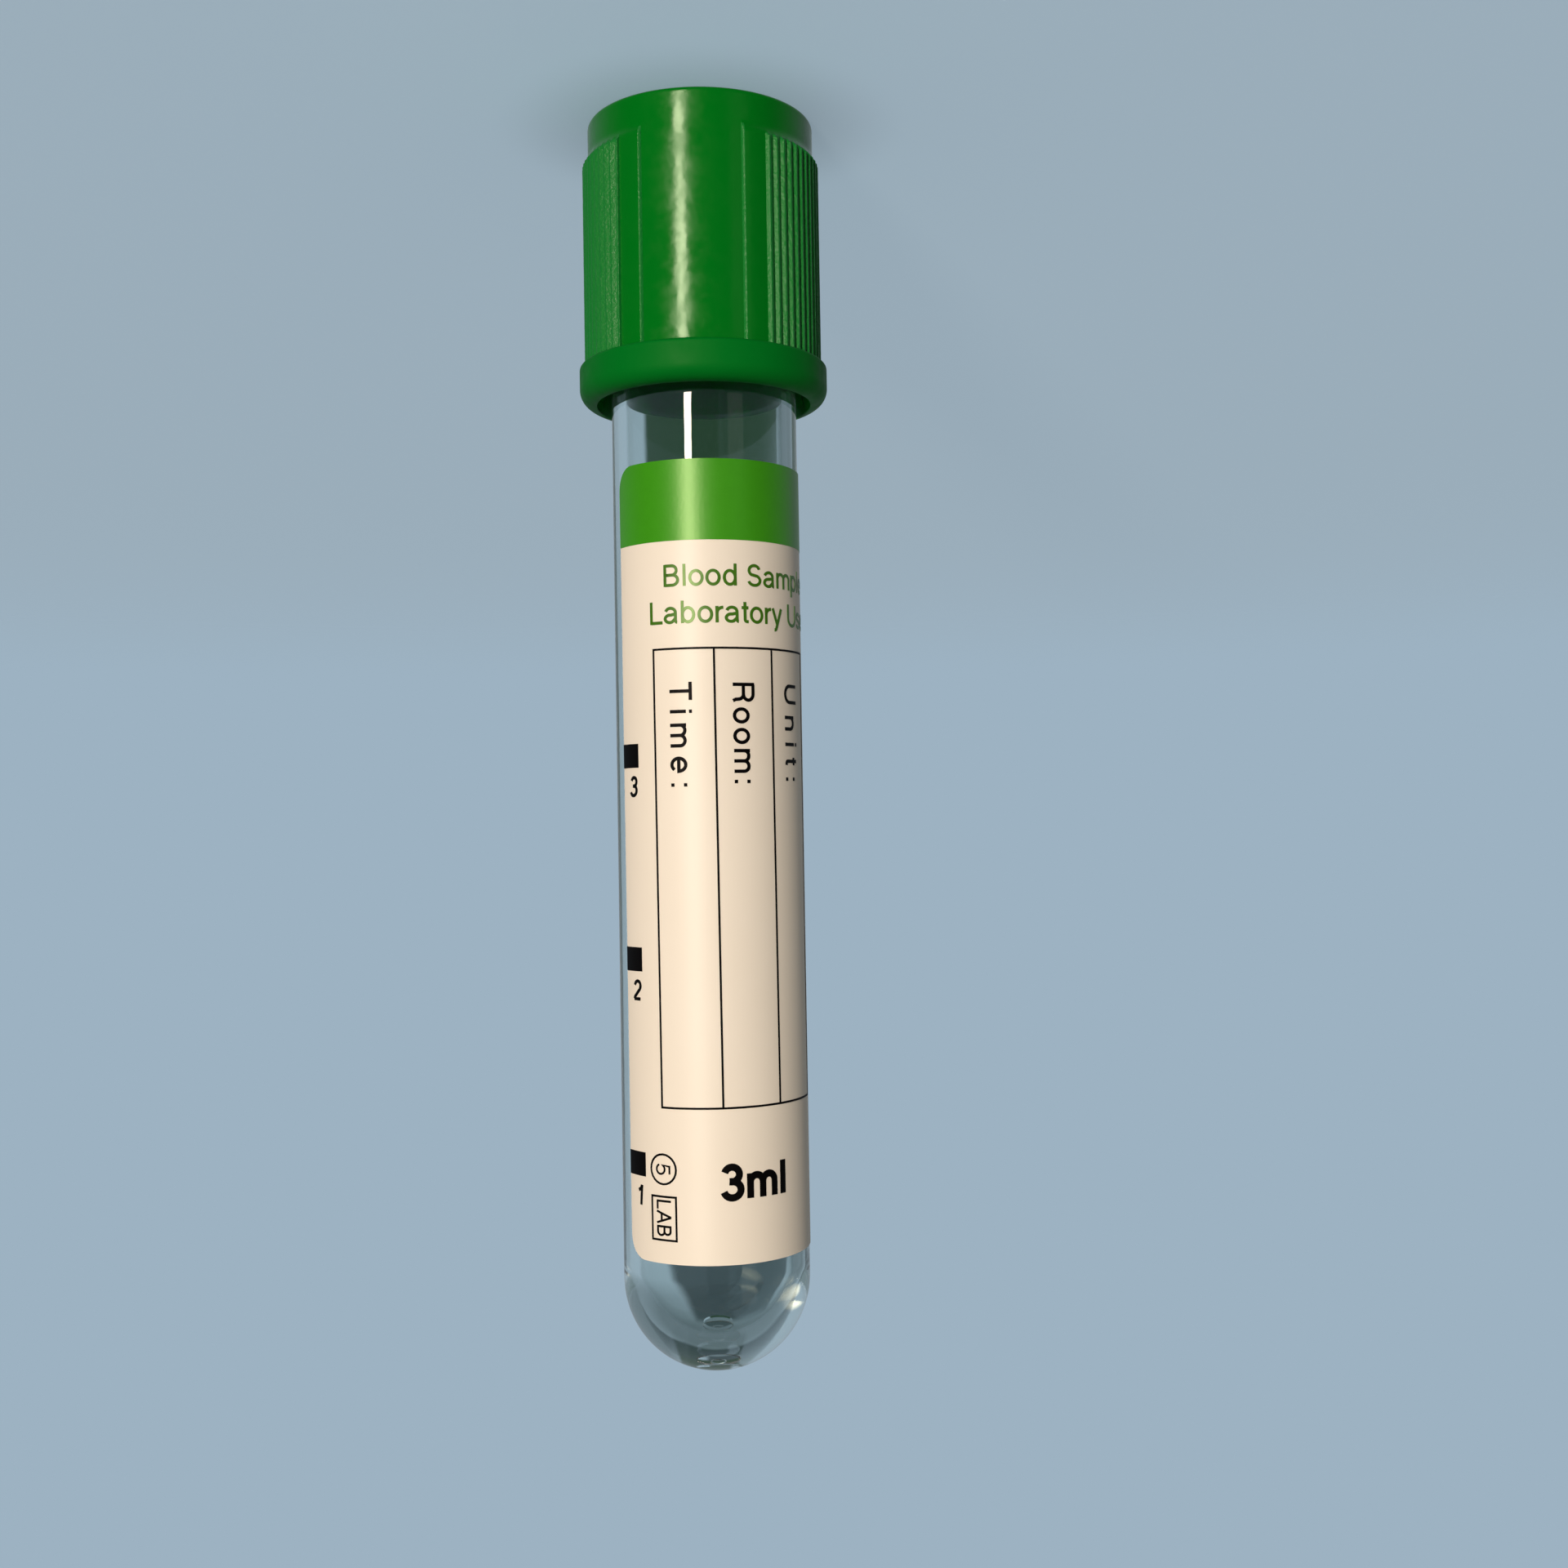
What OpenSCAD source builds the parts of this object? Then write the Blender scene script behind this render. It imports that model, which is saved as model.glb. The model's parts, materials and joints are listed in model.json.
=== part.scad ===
// Evacuated blood collection tube: a clear round-bottomed tube with a wrap-around label, closed by
// a rubber stopper that sits inside a ribbed pull-off cap.
//
// Every piece is drawn on the tube's own axis, which is Z here: the closed end touches 0 and the
// cap is above. Angles round the axis count from the middle of the label's front, which faces -Y,
// towards +X. stand_on_cap() then turns the closed tube over, so that it stands on its cap.

/* [Tube] */
// Outside diameter of the tube
tube_d = 12; // [10:0.5:16]
// Length of the bare tube, closed end to mouth
tube_len = 75; // [72:0.5:100]
// Thickness of the side wall
wall = 1.0; // [0.8:0.1:1.2]
// Thickness of the closed end on the axis
bottom_wall = 1.8; // [1.2:0.1:2.5]
// Rounding of the mouth's edges
rim_round = 0.3; // [0.1:0.05:0.35]
// Diameter of the round gate mark on the outside of the closed end
gate_mark_d = 2.7; // [1.5:0.1:3.5]
// Diameter of the stub of plastic left in the middle of the gate mark
gate_stub_d = 0.9; // [0.4:0.1:1.2]
// Diameter of the core-pin mark on the inside of the closed end
core_mark_d = 2.1; // [1:0.1:2.6]
// Depth of both marks below the round surface at their rim
mark_depth = 0.15; // [0.05:0.05:0.25]

/* [Label] */
// Distance from the closed end to the label's lower edge
label_from = 7.95; // [7.5:0.05:9]
// Height of the label
label_len = 49.75; // [45:0.25:52]
// Thickness of the film with its glue
label_t = 0.06; // [0.04:0.01:0.06]
// Angle of the label's left edge from the middle of its front
label_edge = -60.3; // [-80:0.1:-55]
// Width of the bare window that the label leaves, in degrees
label_window = 57; // [40:1:70]
// Radius of the label's corners
label_corner = 1.5; // [0.5:0.1:2]

/* [Print] */
// Thickness of the printed ink
ink_t = 0.02; // [0.01:0.01:0.03]
// Height of the coloured band at the label's upper edge
band_len = 5.05; // [3:0.05:8]
// Width of the ruled lines
line_w = 0.13; // [0.1:0.01:0.25]
// Distance from the closed end to the table's lower line
table_from = 17.5; // [16:0.1:19]
// Height of the table
table_len = 28.5; // [20:0.1:30]
// Angle of the table's first line
table_edge = -31.4; // [-40:0.1:-28]
// Number of columns in the table
columns = 3; // [1:1:4]
// Width of one column
column_w = 4; // [3:0.1:4.5]
// Distance from the closed end to the middle of the first volume mark
first_mark = 13.9; // [12:0.1:15]
// Distance between volume marks, one millilitre apart
mark_pitch = 12.75; // [11:0.05:13]
// Number of volume marks
marks = 3; // [1:1:3]
// Height of a volume mark
mark_h = 1.5; // [0.5:0.1:2]
// Width of a volume mark, from the label's left edge
mark_w = 1.68; // [1:0.01:2]
// Outside diameter of the ring symbol
symbol_d = 1.97; // [1:0.01:2.2]
// Distance from the closed end to the middle of the ring symbol
ring_at = 13.75; // [12:0.05:15]
// Distance from the closed end to the lower line of the boxed symbol
box_from = 9.33; // [9:0.01:10]
// Height of the boxed symbol
box_len = 2.8; // [2:0.05:3]
// Angle of the middle of both symbols
symbol_at = -31.1; // [-38:0.1:-26]

/* [Cap] */
// Distance from the tube's closed end to the cap's open edge
cap_from = 62.25; // [62:0.05:63]
// Length of the cap
cap_len = 18.2; // [17.8:0.1:20]
// Outside diameter of the cap's plain wall
cap_d = 14.66; // [14.4:0.02:14.8]
// Bore of the cap round the stopper's head
cap_bore_d = 13; // [12.9:0.05:13.1]
// Outside diameter over the ribs of the grip panels
ribbed_d = 15.4; // [15.2:0.05:15.7]
// Outside diameter over the smooth strips beside the ribs
panel_d = 15; // [14.9:0.05:15.1]
// Length of plain wall between the grip panels and the cap's top
top_ring_len = 2.1; // [2:0.05:5]
// Length of the sloped upper end of a grip panel
panel_slope = 0.55; // [0.5:0.05:2]
// Gap between the ribs' upper ends and the plate's sloped end
rib_end_gap = 0.05; // [0.02:0.01:0.5]
// Width of the smooth recess between the two grip panels, in degrees
recess_span = 50; // [40:1:60]
// Width of the smooth strip beside the ribs, in degrees
strip_span = 12.5; // [8:0.5:16]
// Number of ribs on one grip panel
ribs = 24; // [12:1:28]
// Depth of the grooves between the ribs
rib_depth = 0.18; // [0.1:0.01:0.19]
// Part of a rib's pitch that its groove takes up
groove_share = 0.8; // [0.4:0.02:0.9]
// Outside diameter of the bead round the cap's open edge
bead_d = 16.1; // [15.8:0.1:16.5]
// Height of the bead
bead_len = 2.5; // [2.2:0.05:3]
// Rounding of the bead's lower edge, at the cap's open end
bead_round = 1.05; // [0.6:0.05:1.1]
// Rounding of the bead's upper edge
bead_shoulder = 0.25; // [0.1:0.05:0.4]
// Diameter of the cap's flared mouth
cap_mouth_d = 13.9; // [13.4:0.1:13.9]
// Length of the flare inside the mouth
flare_len = 1.95; // [1:0.05:3]
// Thickness of the cap's end wall
cap_end = 1.2; // [1:0.1:1.4]
// Diameter of the needle opening in the end wall
needle_port_d = 8; // [6:0.5:9]
// Rounding of the cap's top edge
cap_edge = 0.25; // [0.1:0.05:0.4]
// Turn of the cap's recess from the middle of the label
cap_turn = -2.3; // [-180:0.1:180]

/* [Stopper] */
// Length of the plug inside the tube
plug_len = 8; // [6:0.5:10]
// Gap between the plug and the tube's wall
plug_gap = 0.05; // [0.02:0.01:0.08]
// Gap between the stopper's head and the cap's bore
head_gap = 0.05; // [0.02:0.01:0.08]
// Diameter of the hollow under the plug
hollow_d = 6; // [4:0.5:7]
// Depth of the hollow under the plug
hollow_depth = 5; // [3:0.5:6]
// Diameter of the dished needle target on the head
dish_d = 6.4; // [4:0.2:7]
// Depth of the dished needle target
dish_depth = 1.4; // [0.5:0.1:2]
// Height of the ring inside the cap that holds the head
snap_len = 0.5; // [0.3:0.1:0.8]

/* [Hidden] */
$fn = 96;

tube_r = tube_d / 2;
bore_r = tube_r - wall;
bore_centre = bottom_wall + bore_r;
gate_rim = tube_r - sqrt(tube_r ^ 2 - (gate_mark_d / 2) ^ 2);
core_rim = bore_centre - sqrt(bore_r ^ 2 - (core_mark_d / 2) ^ 2);

label_r = tube_r + label_t;
label_to = label_from + label_len;
label_wrap = 360 - label_window;
box_w = symbol_d - 0.07;

cap_r = cap_d / 2;
cap_to = cap_from + cap_len;
cap_bore_r = cap_bore_d / 2;
panel_r = panel_d / 2;
ribbed_r = ribbed_d / 2;
panel_root_r = (cap_r + cap_bore_r) / 2;
panel_to = cap_to - top_ring_len;
panel_span = 180 - recess_span;
rib_pitch = (panel_span - 2 * strip_span) / ribs;
bead_r = bead_d / 2;
bead_to = cap_from + bead_len;
seat = cap_to - cap_end;
plug_r = bore_r - plug_gap;
head_r = cap_bore_r - head_gap;
head_to = seat - head_gap;
snap_r = tube_r + 0.3;
snap_slope = cap_bore_r - snap_r;
snap_to = tube_len - 0.15;

// Turns a piece over to stand on the cap's flat end, with the middle of the label still at -Y.
module stand_on_cap() {
    translate([0, 0, cap_to])
        rotate([0, 180, 0])
            children();
}

// Turns a piece drawn at angle 0 (+X) to an angle counted from the middle of the label's front.
module at_angle(angle) {
    rotate([0, 0, angle - 90])
        children();
}

// Degrees that a length takes up round the label
function round_label(length) = length / label_r * 180 / PI;

module tube() {
    color("#dfe9ee", 0.35)
        stand_on_cap()
            difference() {
                tube_outside();
                tube_inside();
                gate_mark();
            }
}

module tube_outside() {
    rotate_extrude() {
        intersection() {
            translate([0, tube_r])
                circle(tube_r);
            square([tube_r, tube_r]);
        }
        translate([0, tube_r])
            square([tube_r, tube_len - rim_round - tube_r]);
        rounded_end(tube_r, tube_len, rim_round);
    }
}

// The last bit of an outline below a flat top, with the outer edge rounded
module rounded_end(r, top, edge) {
    translate([0, top - edge])
        square([r - edge, edge]);
    translate([r - edge, top - edge])
        intersection() {
            circle(edge);
            square(edge);
        }
}

module tube_inside() {
    translate([0, 0, bore_centre])
        sphere(bore_r);
    translate([0, 0, bore_centre])
        cylinder(h = tube_len, r = bore_r);
    // the core's tip has a small pin that stands proud of it
    translate([0, 0, core_rim - mark_depth])
        cylinder(h = 1, d = core_mark_d);
    rotate_extrude()
        difference() {
            translate([0, tube_len - rim_round])
                square([bore_r + rim_round, 2 * rim_round]);
            translate([bore_r + rim_round, tube_len - rim_round])
                circle(rim_round);
        }
}

// Round recess in the tip, with the stub left standing in it to the recess's rim
module gate_mark() {
    difference() {
        translate([0, 0, -1])
            cylinder(h = 1 + gate_rim + mark_depth, d = gate_mark_d);
        translate([0, 0, gate_rim])
            cylinder(h = 1, d = gate_stub_d);
    }
}

// A film wrapped on the tube over the label's own width
module wrapped_film(r, t, from, len) {
    at_angle(label_edge)
        rotate_extrude(angle = label_wrap)
            translate([r, from])
                square([t, len]);
}

// What the label's rounded corners leave out
module outside_corners() {
    // nearer the edges than the corner's radius, so that the arc crosses them at an angle
    inset = 0.97 * label_corner;
    turn = round_label(inset);
    for (end = [0, 1])
        mirrored_height(end)
            for (side = [0, 1])
                at_angle(side == 0 ? label_edge + turn : label_edge + label_wrap - turn)
                    translate([tube_r - 1, 0, label_to - inset])
                        corner_nibble(side == 0 ? -1 : 1);
}

// Draws its children once at the label's upper end, or turned over at its lower end
module mirrored_height(turned) {
    translate([0, 0, turned * (label_from + label_to)])
        mirror([0, 0, turned])
            children();
}

module corner_nibble(side) {
    steps = 6;
    arc = [for (i = [0:steps]) label_corner * [side * sin(90 * i / steps), cos(90 * i / steps)]];
    beyond = 2 * label_corner;
    rotate([90, 0, 90])
        linear_extrude(2)
            polygon(concat(arc, [[side * beyond, 0], [side * beyond, beyond], [0, beyond]]));
}

module label() {
    color("#f0e9df")
        stand_on_cap()
            difference() {
                wrapped_film(tube_r, label_t, label_from, label_len);
                outside_corners();
            }
}

module green_print() {
    color("#3c9618")
        stand_on_cap()
            difference() {
                wrapped_film(label_r, ink_t, label_to - band_len, band_len);
                outside_corners();
            }
}

// A patch of ink: width in mm round the label from an angle, height along the tube
module ink_patch(angle, width, from, height) {
    at_angle(angle)
        rotate_extrude(angle = round_label(width))
            translate([label_r, from])
                square([ink_t, height]);
}

// A ruled frame with upright lines between its cells
module ink_frame(angle, width, from, height, cells) {
    cell_w = (width - line_w) / cells - line_w;
    difference() {
        ink_patch(angle, width, from, height);
        for (i = [0:cells - 1])
            at_angle(angle + round_label(line_w + i * (cell_w + line_w)))
                rotate_extrude(angle = round_label(cell_w))
                    translate([tube_r, from + line_w])
                        square([1, height - 2 * line_w]);
    }
}

module black_print() {
    color("#1b1b1b")
        stand_on_cap() {
            for (i = [0:marks - 1])
                ink_patch(label_edge, mark_w, first_mark + i * mark_pitch - mark_h / 2, mark_h);
            ink_frame(table_edge, columns * column_w, table_from, table_len, columns);
            ink_frame(symbol_at - round_label(box_w / 2), box_w, box_from, box_len, 1);
            ink_ring();
        }
}

module ink_ring() {
    intersection() {
        ink_patch(symbol_at - round_label(symbol_d), 2 * symbol_d, ring_at - symbol_d, 2 * symbol_d);
        at_angle(symbol_at)
            translate([0, 0, ring_at])
                rotate([0, 90, 0])
                    difference() {
                        cylinder(h = 2 * tube_d, d = symbol_d);
                        cylinder(h = 2 * tube_d, d = symbol_d - 2 * line_w);
                    }
    }
}

module stopper() {
    color("#6f7468")
        stand_on_cap()
            difference() {
                union() {
                    plug();
                    head();
                }
                hollow();
                needle_dish();
            }
}

module plug() {
    lead_in = 0.5;
    translate([0, 0, tube_len - plug_len])
        cylinder(h = lead_in, r1 = plug_r - lead_in, r2 = plug_r);
    translate([0, 0, tube_len - plug_len + lead_in])
        cylinder(h = plug_len, r = plug_r);
}

module head() {
    translate([0, 0, tube_len])
        cylinder(h = head_to - tube_len, r = head_r);
}

// The plug is hollow underneath, so that a needle meets only a thin wall.
module hollow() {
    translate([0, 0, tube_len - plug_len - 1])
        cylinder(h = hollow_depth + 1 - hollow_d / 4, d = hollow_d);
    translate([0, 0, tube_len - plug_len + hollow_depth - hollow_d / 4])
        cylinder(h = hollow_d / 4, d1 = hollow_d, d2 = hollow_d / 2);
}

module needle_dish() {
    dish_r = (dish_d ^ 2 / 4 + dish_depth ^ 2) / (2 * dish_depth);
    translate([0, 0, head_to - dish_depth + dish_r])
        sphere(dish_r);
}

module cap() {
    color("#0a7a28")
        stand_on_cap()
            difference() {
                union() {
                    rotate_extrude()
                        cap_outline();
                    for (side = [0, 180])
                        at_angle(cap_turn + recess_span / 2 + side)
                            grip_panel();
                }
                rotate_extrude()
                    cap_inside();
            }
}

module cap_outline() {
    translate([0, bead_to])
        square([cap_r, cap_to - cap_edge - bead_to]);
    rounded_end(cap_r, cap_to, cap_edge);
    bead_outline();
}

module bead_outline() {
    rounded_end(bead_r, bead_to, bead_shoulder);
    translate([0, cap_from + bead_round])
        square([bead_r, bead_len - bead_round - bead_shoulder]);
    translate([0, cap_from])
        square([bead_r - bead_round, bead_round]);
    intersection() {
        translate([bead_r - bead_round, cap_from + bead_round])
            circle(bead_round);
        translate([bead_r - bead_round, cap_from])
            square(bead_round);
    }
}

// Flared mouth, bore for the stopper's head, snap ring under the head and needle opening
module cap_inside() {
    polygon([
        [0, cap_from - 1],
        [cap_mouth_d / 2, cap_from - 1],
        [cap_mouth_d / 2, cap_from],
        [cap_bore_r, cap_from + flare_len],
        [cap_bore_r, snap_to - snap_len - 2 * snap_slope],
        [snap_r, snap_to - snap_len - snap_slope],
        [snap_r, snap_to - snap_slope],
        [cap_bore_r, snap_to],
        [cap_bore_r, seat],
        [needle_port_d / 2, seat],
        [needle_port_d / 2, cap_to + 1],
        [0, cap_to + 1]
    ]);
}

// One raised grip panel, drawn from angle 0 on: a smooth plate with a ribbed layer on its middle
module grip_panel() {
    plate_to = panel_to - panel_slope;
    panel_layer(panel_span, [
        [panel_root_r, bead_to - bead_shoulder],
        [panel_r, bead_to - bead_shoulder],
        [panel_r, plate_to],
        [cap_r, panel_to],
        [panel_root_r, panel_to]
    ]);
    // the layer ends part of the way up the first and last groove's outer flank
    trim = rib_pitch / 4;
    difference() {
        rotate([0, 0, strip_span + trim])
            ribbed_layer(panel_span - 2 * (strip_span + trim), plate_to - rib_end_gap);
        for (i = [0:ribs])
            rotate([0, 0, strip_span + i * rib_pitch])
                rib_groove();
    }
}

module panel_layer(span, outline) {
    rotate_extrude(angle = span)
        polygon(outline);
}

// The solid that the ribs are cut from. Its upper end slopes at 45 degrees down to the plate.
module ribbed_layer(span, top) {
    panel_layer(span, [
        [panel_root_r, bead_to - bead_shoulder],
        [ribbed_r, bead_to - bead_shoulder],
        [ribbed_r, top - (ribbed_r - panel_r)],
        [panel_root_r, top + panel_r - panel_root_r]
    ]);
}

// A V-shaped groove across the ribbed layer's outer face at angle 0
module rib_groove() {
    overshoot = 0.5;
    half_w = ribbed_r * tan(groove_share * rib_pitch / 2) * (1 + overshoot / rib_depth);
    translate([0, 0, bead_to - bead_shoulder])
        linear_extrude(cap_len)
            polygon([
                [ribbed_r - rib_depth, 0],
                [ribbed_r + overshoot, half_w],
                [ribbed_r + overshoot, -half_w]
            ]);
}

tube();
label();
green_print();
black_print();
stopper();
cap();
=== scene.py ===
"""A blood collection tube standing on its cap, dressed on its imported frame.

Clear moulded tube, satin wrap-around label with its printing, rubber stopper and ribbed green cap.
The pieces' sizes are in millimetres on the tube's own axis, and place() turns them into the
frame's metres. The bench, the lamps and their distances are in metres.
"""
import bmesh
import bpy
import json
import math
from mathutils import Euler, Matrix, Vector, noise


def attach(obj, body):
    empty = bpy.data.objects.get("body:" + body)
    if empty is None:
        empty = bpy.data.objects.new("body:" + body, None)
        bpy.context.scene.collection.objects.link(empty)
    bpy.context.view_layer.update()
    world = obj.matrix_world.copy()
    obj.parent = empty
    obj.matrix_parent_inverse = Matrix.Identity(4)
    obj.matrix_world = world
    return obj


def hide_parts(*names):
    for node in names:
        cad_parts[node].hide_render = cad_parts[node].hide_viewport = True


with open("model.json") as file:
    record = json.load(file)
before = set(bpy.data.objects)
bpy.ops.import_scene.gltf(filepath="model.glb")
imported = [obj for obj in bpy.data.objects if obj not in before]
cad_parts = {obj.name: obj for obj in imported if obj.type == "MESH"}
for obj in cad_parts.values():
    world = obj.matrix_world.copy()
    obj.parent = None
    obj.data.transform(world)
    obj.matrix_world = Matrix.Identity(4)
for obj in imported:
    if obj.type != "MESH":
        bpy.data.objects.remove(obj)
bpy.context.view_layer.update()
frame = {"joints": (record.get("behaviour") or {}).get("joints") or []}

# ---------------------------------------------------------------------------------------------
# Tube
# One injection moulding in clear PET, with a round bottom. The gate leaves a round mark with a
# stub on the tip, and the core's tip leaves a smaller one inside. The cap's joint in the frame
# gives the axis that this and every other piece is turned round.
# ---------------------------------------------------------------------------------------------
TUBE_R = 6
BORE_R = 5
TUBE_LEN = 75
BOTTOM = 1.8
RIM = 0.3
GATE_R = 1.35
STUB_R = 0.45
CORE_MARK_R = 1.05
MARK_DEPTH = 0.15
MARK_BEVEL = 0.04
MARK_BEVEL_TURN = 0.5
END_STEPS = 40
RIM_STEPS = 6
LENGTH = 80.45
MM = 0.001

twist = next(joint for joint in frame["joints"] if joint["name"] == "cap_twist")
AXIS = Vector(twist["axis"])
CAP_TOP = Vector(twist["pos_m"])
FRONT = Vector((0, -1, 0))
RIGHT = AXIS.cross(FRONT)


def place(station, radius, angle):
    """A point in the frame: how far it is from the closed end along the axis and off the axis, in
    mm, and its angle in degrees from the middle of the label's front towards its right."""
    turn = math.radians(angle)
    off_axis = RIGHT * math.sin(turn) + FRONT * math.cos(turn)
    return CAP_TOP + (AXIS * (station - LENGTH) + off_axis * radius) * MM


def arc(station, radius, size, start, end, steps):
    """Points of an outline's round stretch: its centre, its own radius, and its two directions in
    degrees, where 0 points along the axis towards the cap and 90 points away from the axis."""
    turns = [math.radians(start + (end - start) * i / steps) for i in range(steps + 1)]
    return [(station + size * math.cos(t), radius + size * math.sin(t)) for t in turns]


def linear(code):
    """An sRGB hex colour as the linear RGBA that shaders take."""
    parts = [int(code[i:i + 2], 16) / 255 for i in (1, 3, 5)]
    return [c / 12.92 if c <= 0.04045 else ((c + 0.055) / 1.055) ** 2.4 for c in parts] + [1]


def add_node(material, kind, inputs=None, links=None, **settings):
    """Adds a shader node with its settings, its inputs' values, and links to its inputs, each
    given as input: (node, output)."""
    tree = material.node_tree
    node = tree.nodes.new(kind)
    for name, value in settings.items():
        setattr(node, name, value)
    for name, value in (inputs or {}).items():
        node.inputs[name].default_value = value
    for name, (source, output) in (links or {}).items():
        tree.links.new(source.outputs[output], node.inputs[name])
    return node


def new_material(name):
    """An empty node material, its Principled shader and its output joined up."""
    material = bpy.data.materials.new(name)
    material.use_nodes = True
    return material, material.node_tree.nodes["Principled BSDF"]


def per_metre(feature_mm):
    """Noise scale whose features are about this wide"""
    return 1 / (feature_mm * MM)


def add_piece(name, points, faces, material, body, replaced, slot, sharp=30):
    """Makes a piece's mesh, finishes it and hands it to the frame."""
    mesh = bpy.data.meshes.new(name)
    mesh.from_pydata(points, [], faces)
    mesh.shade_smooth()
    mesh.set_sharp_from_angle(angle=math.radians(sharp))
    mesh.materials.append(material)
    piece = bpy.data.objects.new(name, mesh)
    bpy.context.collection.objects.link(piece)
    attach(piece, body)
    if replaced:
        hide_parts(replaced)
    return piece


def turned(outline, columns=192):
    """Points and faces of an outline turned round the axis. The outline starts and ends on it."""
    points = [place(outline[0][0], 0, 0)]
    faces = []
    rings = outline[1:-1]
    for station, radius in rings:
        points += [place(station, radius, 360 * i / columns) for i in range(columns)]
    points.append(place(outline[-1][0], 0, 0))
    last = len(points) - 1
    for i in range(columns):
        j = (i + 1) % columns
        faces.append((0, 1 + j, 1 + i))
        for ring in range(len(rings) - 1):
            a, b = 1 + ring * columns, 1 + (ring + 1) * columns
            faces.append((a + i, a + j, b + j, b + i))
        top = 1 + (len(rings) - 1) * columns
        faces.append((top + i, top + j, last))
    return points, faces


def tube_outline():
    """From the tip, up the outside, over the rim and down the bore to the axis"""
    gate_rim = TUBE_R - math.sqrt(TUBE_R ** 2 - GATE_R ** 2)
    gate_turn = 180 - math.degrees(math.asin(GATE_R / TUBE_R)) - MARK_BEVEL_TURN
    centre = BOTTOM + BORE_R
    core_turn = math.degrees(math.asin(CORE_MARK_R / BORE_R))
    core_rim = centre - math.sqrt(BORE_R ** 2 - CORE_MARK_R ** 2)
    gate_floor = gate_rim + MARK_DEPTH
    return [
        (gate_rim, 0),
        (gate_rim, STUB_R - MARK_BEVEL),
        (gate_rim + MARK_BEVEL, STUB_R),
        (gate_floor - MARK_BEVEL, STUB_R),
        (gate_floor, STUB_R + MARK_BEVEL),
        (gate_floor, GATE_R - MARK_BEVEL),
        (gate_floor - MARK_BEVEL, GATE_R),
        *arc(TUBE_R, 0, TUBE_R, gate_turn, 90, END_STEPS),
        (TUBE_LEN / 2, TUBE_R),
        *arc(TUBE_LEN - RIM, TUBE_R - RIM, RIM, 90, 0, RIM_STEPS),
        *arc(TUBE_LEN - RIM, BORE_R + RIM, RIM, 0, -90, RIM_STEPS),
        (TUBE_LEN / 2, BORE_R),
        *arc(centre, 0, BORE_R, 90, 180 - core_turn, END_STEPS),
        (core_rim - MARK_DEPTH, CORE_MARK_R - MARK_BEVEL),
        (core_rim - MARK_DEPTH, 0),
    ]


def clear_pet():
    """Polished PET: clear, a little denser to light than glass is, with the faint waviness that
    the melt leaves where it filled the mould."""
    material, shader = new_material("clear_pet_moulded")
    shader.inputs["Base Color"].default_value = linear("#f6faf9")
    shader.inputs["Transmission Weight"].default_value = 1
    shader.inputs["Roughness"].default_value = 0.02
    shader.inputs["IOR"].default_value = 1.57
    where = add_node(material, "ShaderNodeTexCoord")
    waves = add_node(
        material, "ShaderNodeTexNoise",
        {"Scale": per_metre(1.6), "Detail": 2}, {"Vector": (where, "Object")},
    )
    bump = add_node(
        material, "ShaderNodeBump",
        {"Strength": 0.12, "Distance": 0.02 * MM}, {"Height": (waves, "Fac")},
    )
    material.node_tree.links.new(bump.outputs["Normal"], shader.inputs["Normal"])
    return material


add_piece(
    "clear_tube", *turned(tube_outline(), columns=256), clear_pet(), "vessel", "tube", "clear_pet",
)

# ---------------------------------------------------------------------------------------------
# Label
# A strip of white self-adhesive film wrapped round the tube by machine, with rounded corners. It
# stops short of going right round, which leaves a bare window for looking at the sample.
# ---------------------------------------------------------------------------------------------
LABEL_FROM = 7.95
LABEL_LEN = 49.75
LABEL_R = TUBE_R + 0.06
FILM_BACK_R = TUBE_R - 0.004
LABEL_EDGE = -60.3
LABEL_WRAP = 303
LABEL_W = math.radians(LABEL_WRAP) * LABEL_R
CORNER = 1.5
CORNER_STEPS = 12
SKEW = 0.0055
STRIP_W = 0.25


def on_label(across, up, radius):
    """A point of the label's flat sheet once it is on the tube: across from its left edge and up
    from its lower edge, in mm. The sheet went on slightly askew."""
    lean = SKEW * (LABEL_LEN / 2 - up)
    return place(LABEL_FROM + up, radius, LABEL_EDGE + math.degrees((across + lean) / LABEL_R))


def across_at(angle):
    """How far across the label an angle round the tube is"""
    return math.radians(angle - LABEL_EDGE) * LABEL_R


def corner_drop(across):
    """How much a rounded corner takes off the label's height at a place across it"""
    inward = min(across, LABEL_W - across)
    if inward >= CORNER:
        return 0
    return CORNER - math.sqrt(CORNER ** 2 - (CORNER - inward) ** 2)


def label_columns():
    """Places across the label, closer together round its corners"""
    fine = [
        CORNER * (1 - math.cos(math.radians(90 * i / CORNER_STEPS))) for i in range(CORNER_STEPS)
    ]
    middle = LABEL_W - 2 * CORNER
    count = math.ceil(middle / STRIP_W)
    plain = [CORNER + middle * i / count for i in range(count + 1)]
    return fine + plain + [LABEL_W - place_across for place_across in reversed(fine)]


def wrapped_strip(columns, low, high, inner_r, outer_r):
    """A closed thin sheet on the tube. low(across) and high(across) give its lower and upper edge
    at each column."""
    points = []
    faces = []
    for across in columns:
        for up, radius in (
            (low(across), inner_r), (high(across), inner_r),
            (high(across), outer_r), (low(across), outer_r),
        ):
            points.append(on_label(across, up, radius))
    for i in range(len(columns) - 1):
        a, b = 4 * i, 4 * i + 4
        faces += [(a + k, a + (k + 1) % 4, b + (k + 1) % 4, b + k) for k in range(4)]
    end = 4 * (len(columns) - 1)
    faces += [(3, 2, 1, 0), (end, end + 1, end + 2, end + 3)]
    return points, faces


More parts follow.
